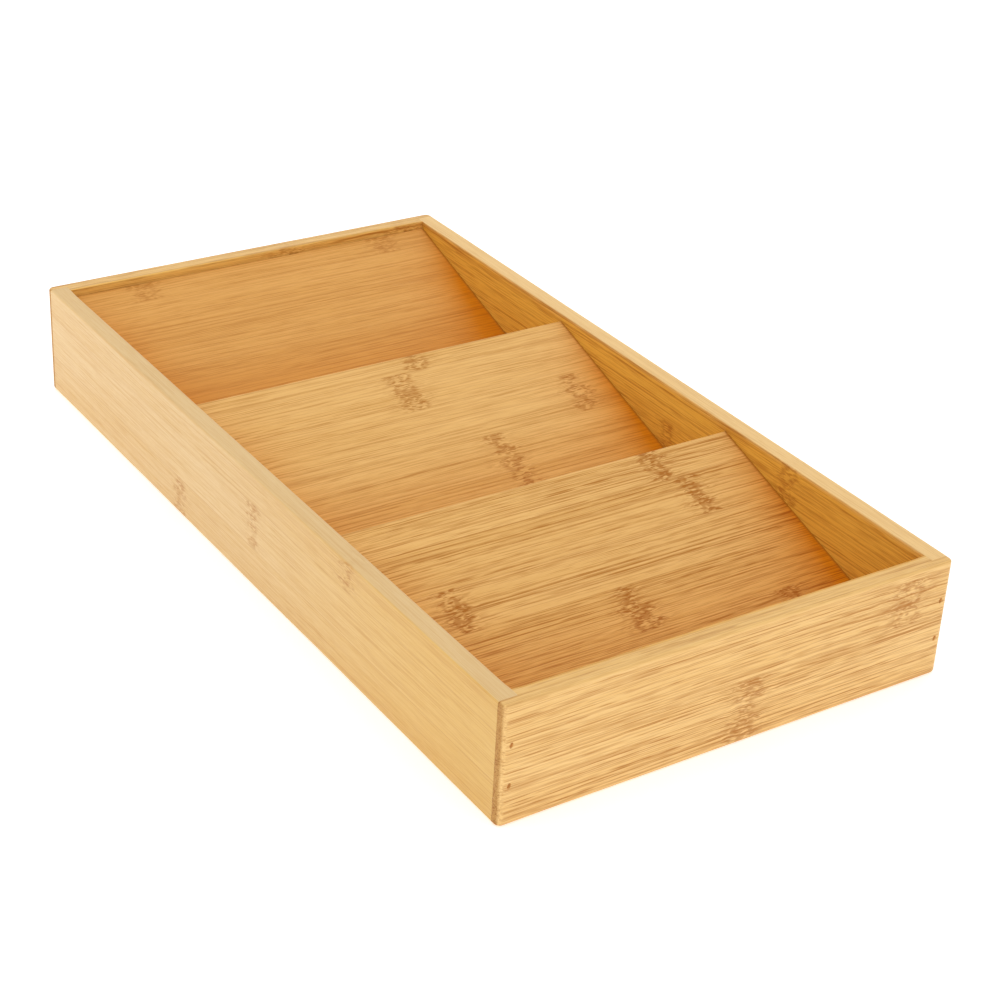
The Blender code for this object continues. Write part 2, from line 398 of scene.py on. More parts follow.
def panel_section(shape, low, high, slope):
    """The cross-section of a tier panel in y and z, and how rounded its edges are.

    A parallelogram with plumb ends, from the toe's top up the slope and round. Each corner C
    is the curve C - r (1 - sin a) d1 + r (1 - cos a) d2 between its two directions d1 and d2.
    """
    plumb = shape.panel_thickness / math.cos(slope)
    corners = np.array([
        (low.y, low.z + plumb), (high.y, high.z), (high.y, high.z - plumb), (low.y, low.z),
    ])
    length = math.hypot(high.y - low.y, high.z - low.z - plumb)
    along = evenly(0, 1, shape.grid / length)
    steps = [along, crowded(4), along, crowded(4)]
    turn = np.linspace(0, math.pi / 2, 6)[:, None]
    ease = shape.panel_ease
    points = []
    arris = []
    for i, corner in enumerate(corners):
        before = corner - corners[i - 1]
        before /= np.linalg.norm(before)
        after = corners[(i + 1) % 4] - corner
        length = np.linalg.norm(after)
        after /= length
        points.append(corner - ease * (1 - np.sin(turn)) * before + ease * (1 - np.cos(turn)) * after)
        arris.append(np.sin(2 * turn[:, 0]))
        inner = ease + (length - 2 * ease) * steps[i][1:-1, None]
        points.append(corner + inner * after)
        arris.append(np.zeros(len(inner)))
    return np.concatenate(points), np.concatenate(arris)


def skin(name, loops, attributes):
    """An object whose mesh is a closed skin through a row of loops of points.

    loops is stations by points by three. Neighbouring loops are joined by quads, and the
    first and last are filled. The faces point outwards: the skin is turned inside out if its
    signed volume is negative. Points that fall together are merged.
    """
    stations, around = loops.shape[:2]
    index = np.arange(stations * around).reshape(stations, around)
    following = np.roll(index, -1, axis=1)
    quads = np.stack([index[:-1], following[:-1], following[1:], index[1:]], -1).reshape(-1, 4)
    corners = loops.reshape(-1, 3)[quads]
    volume = np.einsum(
        "ij,ij->i", corners[:, 0],
        np.cross(corners[:, 1], corners[:, 2]) + np.cross(corners[:, 2], corners[:, 3]),
    ).sum()
    caps = [index[0, ::-1], index[-1]]
    if volume < 0:
        quads = quads[:, ::-1]
        caps = [cap[::-1] for cap in caps]
    mesh = bpy.data.meshes.new(name)
    faces = quads.tolist() + [cap.tolist() for cap in caps]
    mesh.from_pydata(loops.reshape(-1, 3).tolist(), [], faces)
    for label, values in attributes.items():
        layer = mesh.attributes.new(label, "FLOAT", "POINT")
        values = np.broadcast_to(values, loops.shape[:2])
        layer.data.foreach_set("value", np.ascontiguousarray(values, np.float32).ravel())
    obj = bpy.data.objects.new(name, mesh)
    bpy.context.scene.collection.objects.link(obj)
    merge_points(mesh)
    mesh.shade_smooth()
    mesh.set_sharp_from_angle(angle=math.radians(40))
    return obj


def merge_points(mesh, distance=1e-6):
    work = bmesh.new()
    work.from_mesh(mesh)
    bmesh.ops.remove_doubles(work, verts=work.verts, dist=distance)
    bmesh.ops.dissolve_degenerate(work, edges=work.edges, dist=distance / 10)
    work.to_mesh(mesh)
    work.free()


# ---------------------------------------------------------------- shader graphs


class Graph:
    """Adds nodes to a node tree, each fed by sockets or by plain values."""

    def __init__(self, tree):
        self.tree = tree

    def add(self, kind, **settings):
        node = self.tree.nodes.new(kind)
        for name, value in settings.items():
            setattr(node, name, value)
        return node

    def feed(self, socket, value):
        if isinstance(value, bpy.types.NodeSocket):
            self.tree.links.new(value, socket)
        else:
            socket.default_value = value

    def fill_in(self, node, **values):
        """Feed a node's inputs, named by keyword, with spaces as underscores."""
        for name, value in values.items():
            self.feed(node.inputs[name.replace("_", " ")], value)

    def math(self, operation, *values, clamp=False):
        node = self.add("ShaderNodeMath", operation=operation, use_clamp=clamp)
        for socket, value in zip(node.inputs, values):
            self.feed(socket, value)
        return node.outputs[0]

    def scaled_sum(self, start, *terms, clamp=False):
        """start plus each term's value times its weight."""
        total = start
        for i, (value, weight) in enumerate(terms):
            last = i == len(terms) - 1
            total = self.math("MULTIPLY_ADD", value, weight, total, clamp=clamp and last)
        return total

    def combine(self, x, y, z):
        node = self.add("ShaderNodeCombineXYZ")
        for socket, value in zip(node.inputs, (x, y, z)):
            self.feed(socket, value)
        return node.outputs[0]

    def separate(self, vector):
        node = self.add("ShaderNodeSeparateXYZ")
        self.feed(node.inputs[0], vector)
        return node.outputs

    def ramp(self, value, low, high, start=0.0, end=1.0, smooth=True):
        """A value mapped from low and high to start and end, held past both."""
        node = self.add("ShaderNodeMapRange")
        node.interpolation_type = "SMOOTHSTEP" if smooth else "LINEAR"
        for socket, number in zip(node.inputs, (value, low, high, start, end)):
            self.feed(socket, number)
        return node.outputs[0]

    def stretched(self, along, across, depth, length, width):
        """A place in the bamboo divided by a length along its grain and a width across it."""
        return self.combine(
            self.math("DIVIDE", along, length), self.math("DIVIDE", across, width),
            self.math("DIVIDE", depth, width),
        )

    def noise(self, vector, detail=0.0):
        node = self.add("ShaderNodeTexNoise", noise_dimensions="3D")
        self.fill_in(node, Vector=vector, Scale=1.0, Detail=detail)
        return node.outputs[0]

    def sway(self, vector, reach, detail=0.0):
        """A noise centred on zero that swings by about reach to either side."""
        return self.math("MULTIPLY_ADD", self.noise(vector, detail), 4.0 * reach, -2.0 * reach)

    def mix(self, factor, first, second, blend="MIX"):
        node = self.add("ShaderNodeMix", data_type="RGBA", blend_type=blend)
        self.feed(node.inputs[0], factor)
        self.feed(node.inputs[6], first)
        self.feed(node.inputs[7], second)
        return node.outputs[2]

    def group(self, tree, **values):
        node = self.add("ShaderNodeGroup", node_tree=tree)
        self.fill_in(node, **values)
        return node.outputs

    def object_mapping(self, scale):
        """A mapping of the object's own coordinates, made larger by a scale."""
        node = self.add("ShaderNodeMapping")
        source = self.add("ShaderNodeTexCoord").outputs["Object"]
        self.fill_in(node, Vector=source, Scale=(scale,) * 3)
        return node


def new_material(name):
    """A material, the graph of its nodes and its shader."""
    material = bpy.data.materials.new(name)
    material.use_nodes = True
    return material, Graph(material.node_tree), material.node_tree.nodes["Principled BSDF"]


def node_group(name, floats, colours, outputs, fill):
    """A shader node group with named sockets, made by fill(graph, inputs) the first time.

    fill returns the values of the outputs, a colour where the name is Colour.
    """
    if name in bpy.data.node_groups:
        return bpy.data.node_groups[name]
    tree = bpy.data.node_groups.new(name, "ShaderNodeTree")
    for labels, kind in ((floats, "NodeSocketFloat"), (colours, "NodeSocketColor")):
        for label in labels:
            tree.interface.new_socket(name=label, in_out="INPUT", socket_type=kind)
    for label in outputs:
        kind = "NodeSocketColor" if label == "Colour" else "NodeSocketFloat"
        tree.interface.new_socket(name=label, in_out="OUTPUT", socket_type=kind)
    graph = Graph(tree)
    given = graph.add("NodeGroupInput").outputs
    result = graph.add("NodeGroupOutput")
    for label, value in fill(graph, given).items():
        graph.feed(result.inputs[label], value)
    return tree


def fibre_streaks_group():
    """Thin streaks along the grain, which show as specks on a sawn end.

    A noise drawn out to ten times their length keeps them straight and parallel, and a
    shorter one with the same spacing breaks them up.
    """

    def fill(graph, given):
        along, across, depth, length = (given[x] for x in ("Along", "Across", "Depth", "Length"))
        drawn_out = graph.math("MULTIPLY", length, 10.0)
        line = graph.noise(graph.stretched(along, across, depth, drawn_out, given["Spacing"]))
        broken = graph.noise(graph.stretched(along, across, depth, length, given["Spacing"]))
        value = graph.scaled_sum(graph.math("MULTIPLY", line, 0.6), (broken, 0.4))
        return {"Streak": graph.ramp(value, given["Low"], given["High"])}

    floats = ("Along", "Across", "Depth", "Length", "Spacing", "Low", "High")
    return node_group("Fibre Streaks", floats, (), ("Streak",), fill)


def growth_node_group():
    """The ragged band of short wavy ticks where a strip of bamboo had a growth node.

    Lengths are in millimetres. A noise across the strip shifts the band's edges to and fro,
    and another narrows the band, which else reaches 14 mm to either side. The halo round it
    is wider and fainter.
    """

    def fill(graph, given):
        across, depth = given["Across"], given["Depth"]
        from_node = graph.math("SUBTRACT", given["Along"], given["Place"])
        edge = graph.stretched(0.0, across, depth, 1.0, 5.5)
        along = graph.math("ADD", from_node, graph.sway(edge, 2.2, detail=1.0))
        narrowing = graph.noise(graph.stretched(0.0, across, depth, 1.0, 3.5))
        distance = graph.math("DIVIDE", graph.math("ABSOLUTE", along), given["Reach"])
        distance = graph.math("MULTIPLY_ADD", narrowing, 14.0, distance)
        band = graph.ramp(distance, 14.0, 10.0)
        halo = graph.ramp(distance, 23.0, 11.0)
        wave = graph.sway(graph.stretched(along, across, depth, 2.6, 2.0), 0.22)
        waved = graph.math("ADD", across, wave)
        ticks = graph.noise(graph.stretched(along, waved, depth, 4.2, 0.72), detail=1.0)
        spots = graph.noise(graph.stretched(along, waved, depth, 3.4, 4.0), detail=1.0)
        reach = graph.scaled_sum(graph.math("MULTIPLY", halo, 0.4), (band, 0.6))
        return {
            "Band": band,
            "Halo": halo,
            "Dark": graph.math("MULTIPLY", reach, graph.ramp(ticks, 0.50, 0.60)),
            "Bright": graph.math("MULTIPLY", band, graph.ramp(ticks, 0.47, 0.36)),
            "Brown": graph.math("MULTIPLY", band, graph.ramp(spots, 0.40, 0.62)),
        }

    floats = ("Along", "Across", "Depth", "Place", "Reach")
    return node_group("Growth Node", floats, (), ("Band", "Halo", "Dark", "Bright", "Brown"), fill)


def bamboo_group():
    """Bamboo of one strip: its ground, its streaks, its growth nodes and its glued edges."""

    def fill(graph, given):
        along, across, depth = given["Along"], given["Across"], given["Depth"]
        to_first = graph.math("ABSOLUTE", graph.math("SUBTRACT", along, given["First Node"]))
        to_second = graph.math("ABSOLUTE", graph.math("SUBTRACT", along, given["Second Node"]))
        second_nearer = graph.math("LESS_THAN", to_second, to_first)
        place = graph.scaled_sum(
            given["First Node"],
            (graph.math("SUBTRACT", given["Second Node"], given["First Node"]), second_nearer),
        )
        marks = graph.group(
            growth_node_group(), Along=along, Across=across, Depth=depth, Place=place,
            Reach=given["Reach"],
        )
        band, halo, dark, bright, brown = (
            graph.math("MULTIPLY", marks[label], given["Nodes"])
            for label in ("Band", "Halo", "Dark", "Bright", "Brown")
        )

        drift = graph.sway(graph.stretched(along, across, depth, 150.0, 20.0), 0.7)
        bulge = graph.sway(graph.stretched(along, across, depth, 6.0, 2.6), 0.4)
        bent = graph.math("ADD", across, graph.math("MULTIPLY_ADD", bulge, halo, drift))

        def streaks(length, spacing, low, high):
            return graph.group(
                fibre_streaks_group(), Along=along, Across=bent, Depth=depth,
                Length=length, Spacing=spacing, Low=low, High=high,
            )["Streak"]

        coarse, medium, fine, broad, wide = (streaks(*numbers) for numbers in STREAKS.values())
        tone = graph.scaled_sum(
            0.72, (given["Tone"], 0.38), (broad, -0.12), (wide, -0.20), (fine, -0.34), clamp=True,
        )
        colour = graph.mix(tone, given["Deep"], given["Pale"])
        presence = graph.scaled_sum(0.75, (wide, 0.30), (broad, 0.25))
        lines = graph.scaled_sum(graph.math("MULTIPLY", coarse, 0.46), (medium, 0.40))
        lines = graph.math("MULTIPLY", lines, presence)
        lines = graph.math("MULTIPLY", lines, given["Streaks"], clamp=True)
        colour = graph.mix(lines, colour, given["Dark"])
        colour = graph.mix(graph.math("MULTIPLY", bright, 0.25), colour, given["Pale"])
        colour = graph.mix(graph.math("MULTIPLY", brown, 0.55), colour, given["Brown"])
        colour = graph.mix(graph.math("MULTIPLY", dark, 0.80), colour, given["Brown"])
        colour = graph.mix(graph.math("MULTIPLY", given["Seam"], 0.35), colour, given["Brown"])

        height = graph.scaled_sum(
            1.0, (fine, -0.3), (lines, -0.7), (dark, -0.7), (bright, 0.2), (given["Seam"], -0.8),
        )
        gloss = graph.scaled_sum(graph.math("MULTIPLY", fine, 0.06), (lines, 0.14), (brown, 0.08))
        return {"Colour": colour, "Roughness": gloss, "Height": height}

    floats = (
        "Along", "Across", "Depth", "Tone", "First Node", "Second Node", "Reach", "Seam",
        "Streaks", "Nodes",
    )
    colours = ("Pale", "Deep", "Dark", "Brown")
    return node_group("Bamboo Strip", floats, colours, ("Colour", "Roughness", "Height"), fill)


def board_finish_group():
    """Painted highlight and shade, thirsty end grain, browned dimples, a painted shadow line."""

    def fill(graph, given):
        # Painted highlight: eased edges and up-facing rims are paled towards the pale fibre colour
        paler = graph.math("MULTIPLY", given["Sanded"], 0.25)
        colour = graph.mix(paler, given["Colour"], given["Pale"])
        # Painted shade: the colour is multiplied by a tint that deepens it where the amount is high
        shade_tint = graph.mix(given["Pooled"], WHITE, given["Pool Tint"])
        colour = graph.mix(1.0, colour, shade_tint, blend="MULTIPLY")
        pores = graph.noise(graph.stretched(
            given["Along"], given["Across"], given["Depth"], 30.0, 0.33,
        ), detail=1.0)
        thirst = graph.math("MULTIPLY", given["End Grain"], graph.ramp(pores, 0.35, 0.62, 0.7, 1.0))
        dry = graph.mix(thirst, WHITE, given["End Tint"])
        colour = graph.mix(1.0, colour, dry, blend="MULTIPLY")
        # Darkens towards a brown: a painted shadow line on the tiers beside the side boards, and the
        # browned dimples over the brads
        colour = graph.mix(given["Soiled"], colour, given["Soil"])
        rough = graph.scaled_sum(
            given["Sheen"], (given["Roughness"], 1.0), (given["End Grain"], 0.2),
            (given["Pooled"], -0.06), clamp=True,
        )
        return {"Colour": colour, "Roughness": rough}

    floats = (
        "Along", "Across", "Depth", "Sanded", "Pooled", "Soiled", "End Grain", "Roughness", "Sheen",
    )
    colours = ("Colour", "Pale", "Pool Tint", "End Tint", "Soil")
    return node_group("Board Finish", floats, colours, ("Colour", "Roughness"), fill)


def stepped_ramp(graph, position, starts, values):
    """A colour ramp that holds each strip's four values from where the strip starts."""
    node = graph.add("ShaderNodeValToRGB")
    graph.feed(node.inputs[0], position)
    ramp = node.color_ramp
    ramp.interpolation = "CONSTANT"
    while len(ramp.elements) > 1:
        ramp.elements.remove(ramp.elements[-1])
    for i, (start, value) in enumerate(zip(starts, values)):
        element = ramp.elements[0] if i == 0 else ramp.elements.new(start)
        element.position = start
        element.color = value
    red, green, blue = graph.separate(node.outputs["Color"])
    return red, green, blue, node.outputs["Alpha"]


def strip_values(graph, board, across):
    """A board's strips as values over its section: tone, the two nodes' places, shift and seam.

    One ramp holds each strip's tone in red, its nodes in green and blue as shares of a metre
    about the board's middle, and its number in alpha, in eighths, which moves its pattern away
    from its neighbours'. The other holds where the strip starts and ends, and the seam is
    what lies within a quarter of a millimetre of either.
    """
    strips = STRIPS[board]
    low = strips[0][0]
    high = STRIPS_END["tier" if board.startswith("tier") else "board"]
    span = high - low
    starts = [(strip[0] - low) / span for strip in strips]
    ends = starts[1:] + [1.0]
    position = graph.ramp(across, low, high, smooth=False)
    looks = []
    for i, (_, tone, *nodes) in enumerate(strips):
        places = (list(nodes) + [NO_NODE, NO_NODE])[:2]
        looks.append((0.5 + tone / 2, *(0.5 + place / MILLIMETRES for place in places), i / 8))
    red, green, blue, alpha = stepped_ramp(graph, position, starts, looks)
    edges = [(start, end, 0.0, 1.0) for start, end in zip(starts, ends)]
    start, end, _, _ = stepped_ramp(graph, position, starts, edges)
    to_edge = graph.math("MINIMUM", *(
        graph.math("ABSOLUTE", graph.math("SUBTRACT", position, edge)) for edge in (start, end)
    ))
    return (
        graph.math("MULTIPLY_ADD", red, 2.0, -1.0),
        graph.math("MULTIPLY_ADD", green, MILLIMETRES, -MILLIMETRES / 2),
        graph.math("MULTIPLY_ADD", blue, MILLIMETRES, -MILLIMETRES / 2),
        graph.math("MULTIPLY", alpha, 8 * STRIP_APART),
        graph.ramp(to_edge, 0.25 / span, 0.05 / span),
    )


def bamboo_material(
    board, axes, finish, pale, deep, streaks=1.0, nodes=1.0, reach=1.0, ridge=None, slope=0.0,
    shift=0.0,
):
    """The bamboo of one board, read from Object coordinates in millimetres.

    axes names the object's axes that run along the grain, across the strips and through the
    board. shift sets its pattern apart from the other boards'. A tier panel's coordinates are
    turned level and start at its ridge. The skin's attributes say where it gets painted
    highlight, painted shade, the browning of a brad dimple or the darkening of a painted
    shadow line, where it is end grain, and rim how far it faces up or down.
    """
    material, graph, shader = new_material(f"{board}_bamboo")
    mapping = graph.object_mapping(MILLIMETRES)
    # Boards and tiers differ in the tint of their painted shade, in the brown that their dimples or
    # painted shadow line darken to, and in their mirror
    if ridge is None:
        shade_tint, darkening, mirror = finish.painted_shade_wall, finish.brad, finish.board_mirror
    else:
        shade_tint, darkening, mirror = finish.pooled, finish.node_brown, finish.tier_mirror
        cos, sin = math.cos(slope), math.sin(slope)
        level_ridge = (0.0, ridge.y * cos + ridge.z * sin, ridge.z * cos - ridge.y * sin)
        graph.fill_in(
            mapping, Rotation=(-slope, 0.0, 0.0),
            Location=[-MILLIMETRES * length for length in level_ridge],
        )
    place = graph.separate(mapping.outputs[0])
    along, across, depth = (place[axis] for axis in axes)
    sanded, pooled, soiled, end_grain, rim = (
        graph.add("ShaderNodeAttribute", attribute_name=name).outputs["Fac"]
        for name in ("sanded", "pooled", "soiled", "end_grain", "rim")
    )
    tone, first, second, strip_shift, seam = strip_values(graph, board, across)
    depth = graph.math("ADD", depth, graph.math("ADD", strip_shift, shift))
    colours = {
        "Pale": (*pale, 1.0),
        "Deep": (*deep, 1.0),
        "Dark": (*finish.streak, 1.0),
        "Brown": (*finish.node_brown, 1.0),
    }
    bamboo = graph.group(
        bamboo_group(), Along=along, Across=across, Depth=depth, Tone=tone, First_Node=first,
        Second_Node=second, Seam=seam, Reach=reach, **colours,
        Streaks=graph.ramp(rim, 0.7, 1.0, streaks, 0.8 * streaks),
        Nodes=graph.ramp(rim, 0.7, 1.0, nodes, 0.2 * nodes),
    )
    board_finish = graph.group(
        board_finish_group(), Along=along, Across=across, Depth=depth, Colour=bamboo["Colour"],
        Roughness=bamboo["Roughness"], Sheen=finish.sheen, Pale=(*finish.pale, 1.0),
        Sanded=sanded, Pooled=pooled, Soiled=soiled,
        End_Grain=graph.ramp(end_grain, 0.6, 0.95),
        End_Tint=(*finish.end_grain, 1.0), Pool_Tint=(*shade_tint, 1.0), Soil=(*darkening, 1.0),
    )
    bump = graph.add("ShaderNodeBump")
    graph.fill_in(bump, Strength=0.3, Distance=finish.relief, Height=bamboo["Height"])
    graph.fill_in(
        shader, Base_Color=board_finish["Colour"], Roughness=board_finish["Roughness"],
        Normal=bump.outputs[0], IOR=1.48, Specular_IOR_Level=mirror,
    )
    return material


def steel_material(finish):
    """Dull steel of the brads, browned in patches."""
    material, graph, shader = new_material("browned_steel")
    place = graph.object_mapping(2000.0).outputs[0]
    patches = graph.ramp(graph.noise(place, detail=3.0), 0.4, 0.6)
    graph.fill_in(
        shader, Base_Color=graph.mix(patches, (*finish.brad, 1.0), (*finish.brad_dust, 1.0)),
        Roughness=graph.ramp(patches, 0.0, 1.0, 0.45, 0.75),
        Metallic=graph.ramp(patches, 0.0, 1.0, 0.2, 0.0),
    )
    return material


# ---------------------------------------------------------------- pieces


def dress(obj, node, material):
    """Let a finished piece stand for its CAD node, with its material."""
    obj.data.materials.clear()
    obj.data.materials.append(material)
    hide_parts(node)
    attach(obj, "root")


def brad_places(end_name):
    """The middles of the brad heads of one end board: x and z."""
    places = []
    for name in sorted(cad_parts):
        if name.startswith(f"{end_name}_") and "_brad_" in name:
            low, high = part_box(name)
            places.append(((low.x + high.x) / 2, (low.z + high.z) / 2))
    return np.array(places)


def add_lines(lines, centres, reach):
    """Grid lines with fine ones round the brads in place of those that would crowd them."""
    for centre in np.unique(centres):
        lines = lines[np.abs(lines - centre) > reach + DIMPLE_GRID]
        fine = np.arange(centre - reach, centre + reach + DIMPLE_GRID / 2, DIMPLE_GRID)
        lines = np.concatenate([lines, fine])
    return np.unique(np.round(lines, 7))


class SPICERACK_OT_end_boards(bpy.types.Operator):
    """Build the front and back boards, rebated over the ends of the side boards"""

    bl_idname = "spicerack.end_boards"
    bl_label = "End Boards"

    def execute(self, context):
        shape = context.scene.rack_shape
        finish = context.scene.bamboo_finish
        side_low, side_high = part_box("left_side_board")
        inner_half = -side_high.x
        for end_name, end in ENDS:
            node = f"{end_name}_board"
            low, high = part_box(node)
            thickness = high.y - low.y
            lap = HALF_LENGTH - abs(side_low.y if end < 0 else side_high.y) - shape.joint_gap
            brads = brad_places(end_name)

            shoulder = inner_half - shape.joint_gap
            lines = evenly(-shoulder, shoulder, shape.grid)
            bend = shape.corner_radius * (1 - np.cos(np.linspace(0, math.pi / 2, 10)))
            lap_end = HALF_WIDTH - shape.corner_radius - 0.0003
            lap_lines = evenly(shoulder + SLIVER, lap_end, LAP_GRID)
            ends = np.concatenate([lap_lines, HALF_WIDTH - bend])
            lines = np.unique(np.round(np.concatenate([lines, ends, -ends]), 7))
            lines = add_lines(lines, brads[:, 0], DIMPLE_ACROSS)
            x = lines[:, None]
            to_corner = HALF_WIDTH - np.abs(x)
            tongue = np.abs(x) <= shoulder + SLIVER / 2
            ease = shape.inner_ease * smooth_step((shoulder - np.abs(x)) / EASE_RUN_OUT)

            levels = add_lines(outer_levels(36), brads[:, 1], DIMPLE_UP)
            inward, up, arris, facing = board_section(
                shape, wandering(x, 3 + end), to_corner, np.where(tongue, thickness, lap), ease, levels,
            )
            dimple = self.dimples(shape, brads, x, up, inward)
            inward = inward + shape.dimple_depth * dimple
            across = np.broadcast_to(x, inward.shape)
            loops = np.stack([across, end * (HALF_LENGTH - inward), up], -1)
            board = skin(f"{node}_bamboo", loops, {
                # Painted highlight along the eased edges
                "sanded": arris,
                "rim": facing,
                "end_grain": 1 - to_corner / shape.corner_radius,
                # Painted shade on the inner face, and a little on the rim and the foot
                "pooled": 0.5 * (inward > 0.9 * thickness) + 0.15 * facing,
                # The dimples over the brads are browned
                "soiled": dimple,
            })
            material = bamboo_material(
                node, (0, 2, 1), finish, finish.pale, finish.deep, nodes=0.8, reach=1.6,
                shift=60.0 + 30.0 * end,
            )
            dress(board, node, material)
        return {"FINISHED"}

    @staticmethod
    def dimples(shape, brads, x, up, inward):
        """Shares of the depth of the oval dimples over the brads.

        An ellipse (u/a)^2 + (w/b)^2, its long axis leaning 12 degrees from upright, with a
        wall that falls over the last fifth of its radius.
        """
        lean = math.radians(12)
        total = np.zeros_like(inward)
        for centre_x, centre_z in brads:
            u = (x - centre_x) * math.cos(lean) - (up - centre_z) * math.sin(lean)
            w = (x - centre_x) * math.sin(lean) + (up - centre_z) * math.cos(lean)
            radius = np.hypot(u / (shape.dimple_width / 2), w / (shape.dimple_height / 2))
            total += smooth_step((1.1 - radius) / 0.2)
        return total * (inward < OUTER_FACE)


class SPICERACK_OT_side_boards(bpy.types.Operator):
    """Build the long side boards, with a stopped groove for each tier panel"""

    bl_idname = "spicerack.side_boards"
    bl_label = "Side Boards"

    def execute(self, context):
        shape = context.scene.rack_shape
        finish = context.scene.bamboo_finish
        for side_name, side in SIDES:
            node = f"{side_name}_side_board"
            low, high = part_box(node)
            y, groove = self.stations(shape, low, high)
            thickness = high.x - low.x
            from_end = HALF_LENGTH - thickness - np.abs(y)
            ease = shape.inner_ease * smooth_step(from_end / EASE_RUN_OUT)
            inward, up, arris, facing = board_section(
                shape, wandering(y, 7 + side), np.full_like(y, FAR), thickness, ease,
                outer_levels(30), groove,
            )
            along = np.broadcast_to(y, inward.shape)
            loops = np.stack([side * (HALF_WIDTH - inward), along, up], -1)
            inner = (inward > 0.9 * thickness) * (facing < 0.5)
            # Painted light: the left board takes the washed-out copy of the bamboo, with fainter
            # streaks and nodes and less painted highlight on its rim
            if side < 0:
                pale, deep, streaks, nodes, rim_highlight = finish.left_lit_pale, finish.left_lit_deep, 0.4, 0.6, 1.0
            else:
                pale, deep, streaks, nodes, rim_highlight = finish.pale, finish.deep, 1.0, 0.75, 2.4
            # Painted shade: the outer faces darken towards the front, away from the softbox at the back
            # left
            shaded_front = (inward < OUTER_FACE) * 0.52 * smooth_step((0.03 - y) / 0.22)
            board = skin(f"{node}_bamboo", loops, {
                # Painted highlight along the eased edges and on the rim, strongest on the right board
                "sanded": np.maximum(arris, rim_highlight * facing),
                "rim": facing,
                "end_grain": 0.0,
                # Painted shade on the inner face below the rim, and on the outer faces towards the
                # front
                "pooled": 0.80 * inner * np.clip((HEIGHT - up) / 0.002, 0, 1) + shaded_front,
                "soiled": 0.0,
            })
            material = bamboo_material(
                node, (1, 2, 0), finish, pale, deep, streaks, nodes, shift=105.0 + 15.0 * side,
            )
            dress(board, node, material)
        return {"FINISHED"}

    @staticmethod
    def stations(shape, low, high):
        """The stations along a side board, and the grooves' heights and depth at each.

        A groove climbs with its panel: its foot at a station is the panel's, which rises by
        the slope's tangent. Between two tiers, and past the first and last, it has no depth.
        """
        rows = []
        joint = shape.joint_gap
        for tier in TIER_LOOKS:
            panel_low, panel_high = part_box(f"tier_panel_{tier}")
            slope = panel_slope(shape, panel_low, panel_high)
            plumb = shape.panel_thickness / math.cos(slope)
            start, stop = panel_low.y - joint, panel_high.y + joint
            y = evenly(start, stop, shape.grid)
            foot = panel_low.z - joint + (y - start) * math.tan(slope)
            head = foot + plumb + 2 * joint
            deep = np.full_like(y, shape.groove_depth)
            run = np.stack([y, foot, head, deep], -1)
            shut_first, shut_last = run[0].copy(), run[-1].copy()
            shut_first[0] -= SLIVER
            shut_last[0] += SLIVER
            shut_first[3] = shut_last[3] = 0.0
            rows += [shut_first[None], run, shut_last[None]]
        first, last = rows[0][0].copy(), rows[-1][0].copy()
        first[0], last[0] = low.y, high.y
        table = np.concatenate([first[None], *rows, last[None]])
        y, foot, head, deep = (table[:, i, None] for i in range(4))
        return y, (foot, head, deep)


def panel_slope(shape, low, high):
    """The slope of a panel with plumb ends, from its box and its thickness t.

    rise * cos(slope) - run * sin(slope) = t, where rise and run are the box's height and length.
    """
    rise = high.z - low.z
    run = high.y - low.y
    return math.acos(shape.panel_thickness / math.hypot(rise, run)) - math.atan2(run, rise)


class SPICERACK_OT_tier_panels(bpy.types.Operator):
    """Build the sloped panels that the jars lie on"""

    bl_idname = "spicerack.tier_panels"
    bl_label = "Tier Panels"

    def execute(self, context):
        shape = context.scene.rack_shape
        finish = context.scene.bamboo_finish
        for tier, (streaks, nodes, ground) in TIER_LOOKS.items():
            node = f"tier_panel_{tier}"
            low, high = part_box(node)
            slope = panel_slope(shape, low, high)
            outline, edge = panel_section(shape, low, high, slope)
            wall = high.x - shape.groove_depth
            by_wall = wall - BESIDE_GRID * np.arange(1, 5)
            x = np.unique(np.concatenate([
                evenly(-wall, wall, shape.grid), (low.x, high.x), by_wall, -by_wall,
            ]))
            from_wall = np.clip(wall - np.abs(x), 0.0, None)
            loops = np.empty((len(x), len(outline), 3))
            loops[..., 0] = x[:, None]
            loops[..., 1:] = outline[None]
            panel = skin(f"{node}_bamboo", loops, {
                # Painted highlight along the panel's eased edges
                "sanded": edge[None],
                "rim": 0.0,
                "end_grain": 0.0,
                # Painted shade over the panel's face
                "pooled": self.pooled(shape, low, high, slope, from_wall, outline, ground),
                # Painted shadow: a thin dark line where the panel meets a side board
                "soiled": 0.9 * np.exp(-((from_wall[:, None] / 0.0008) ** 2)),
            })
            material = bamboo_material(
                node, (0, 1, 2), finish, finish.tier_pale, finish.tier_deep, streaks, nodes,
                ridge=high, slope=slope, shift=150.0 + 30.0 * tier,
            )
            dress(panel, node, material)
        return {"FINISHED"}

    @staticmethod
    def pooled(shape, low, high, slope, from_wall, outline, ground):
        """How much painted shade lies on a panel's face, from 0 to 1.

        To the ground that lies all over it, it adds painted shade in the lower half, and
        against the side boards as exp(-distance / 15 mm), but hardly at the ridge.
        """
        y, z = outline.T
        sunk = ((high.y - y) / (high.y - low.y))[None]
        amount = ground + 0.28 * smooth_step((sunk - 0.38) / 0.32)
        amount = amount + (0.12 + 0.75 * smooth_step(sunk / 0.45)) * np.exp(-from_wall[:, None] / 0.015)
        face = z > low.z + (y - low.y) * math.tan(slope) + 0.5 * shape.panel_thickness
        return np.clip(amount, 0, 1) * face[None]


